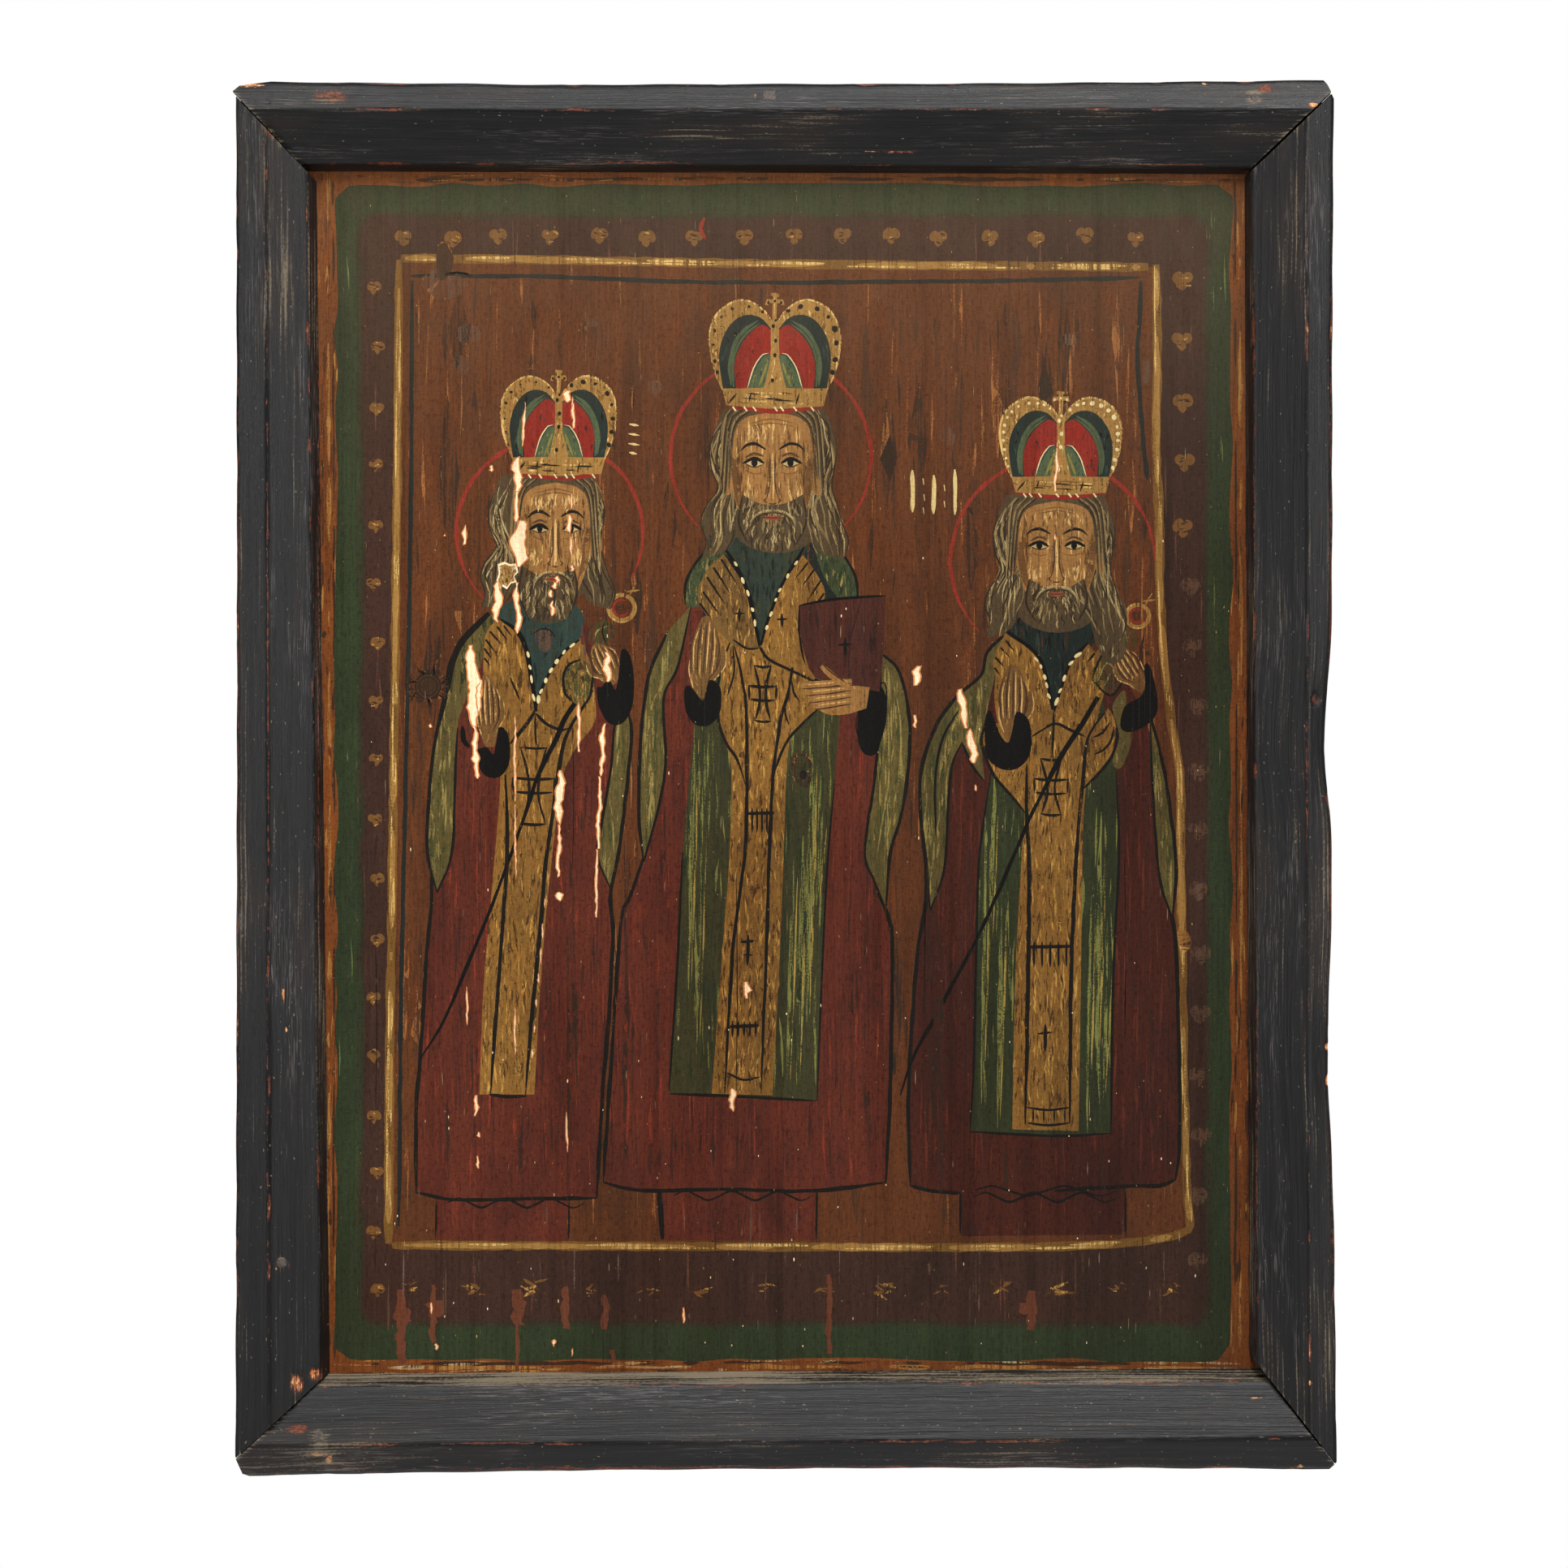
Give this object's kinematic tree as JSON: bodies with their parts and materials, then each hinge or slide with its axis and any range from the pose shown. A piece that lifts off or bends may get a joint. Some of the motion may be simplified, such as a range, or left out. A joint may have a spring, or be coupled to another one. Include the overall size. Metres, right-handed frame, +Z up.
{
  "type": "religious icon",
  "caption": "Folk icon: a painted wooden board framed by bevelled, mitred rails pegged to its front, made to hang on a wall.",
  "frame": {"origin": "middle of the board's flat back, where it lies against the wall", "axes": "+Z up, -Y out of the painted front, +X to the right of someone who looks at the painting"},
  "size_m": [0.5035, 0.038, 0.6368],
  "materials": {
    "painted_board": "old oil paint on wood, rubbed and flaked",
    "dark_rail_paint": "worn black-brown paint on wood, satin",
    "peg_wood": "dark dry wood, matt"
  },
  "bodies": {
    "root": {"board": "painted_board", "rail_top": "dark_rail_paint", "rail_bottom": "dark_rail_paint", "rail_left": "dark_rail_paint", "rail_right": "dark_rail_paint", "peg_top_right": "peg_wood", "peg_bottom_left": "peg_wood", "peg_left": "peg_wood", "peg_top_centre": "peg_wood"}
  },
  "joints": []
}
